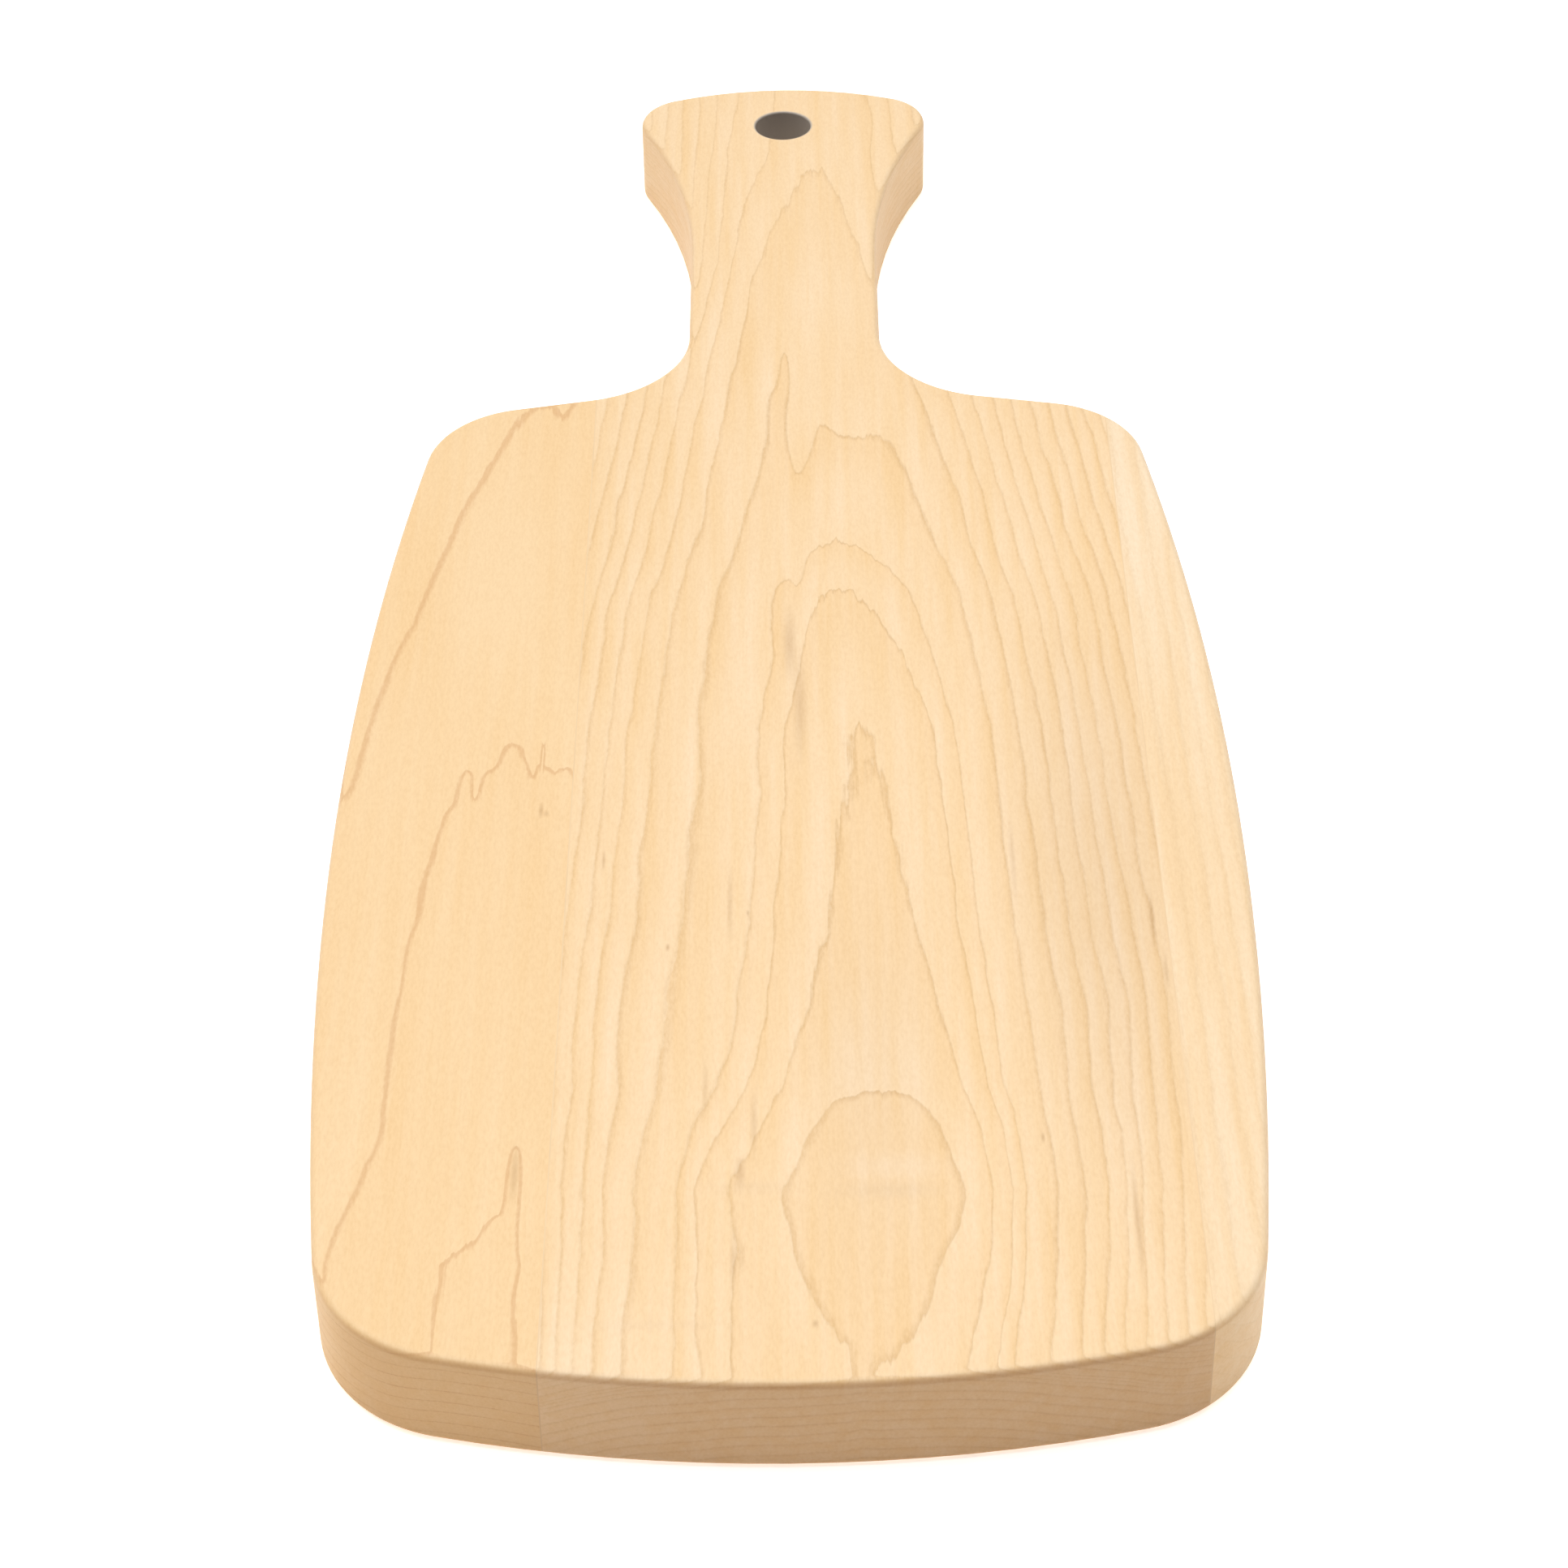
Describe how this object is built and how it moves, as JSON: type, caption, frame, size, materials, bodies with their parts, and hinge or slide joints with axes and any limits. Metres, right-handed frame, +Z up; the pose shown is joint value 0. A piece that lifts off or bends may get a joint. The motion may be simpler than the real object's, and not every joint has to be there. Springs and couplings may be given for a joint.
{
  "type": "cutting board",
  "caption": "Paddle-shaped hardwood cutting board with a short flared handle and a hanging hole, made of edge-glued staves.",
  "frame": {"origin": "middle of the bounding box of the underside, with the board lying flat", "axes": "+Y from the front edge of the blade towards the handle, +Z up out of the working face, +X to the right when looking from the front towards the handle"},
  "size_m": [0.165, 0.4128, 0.0191],
  "materials": {
    "hard_maple": "satin, sanded and oiled",
    "wood_glue": "cured glue film, sanded flush"
  },
  "bodies": {
    "root": {"left_stave": "hard_maple", "left_glue_line": "wood_glue", "centre_stave": "hard_maple", "right_glue_line": "wood_glue", "right_stave": "hard_maple"}
  },
  "joints": []
}
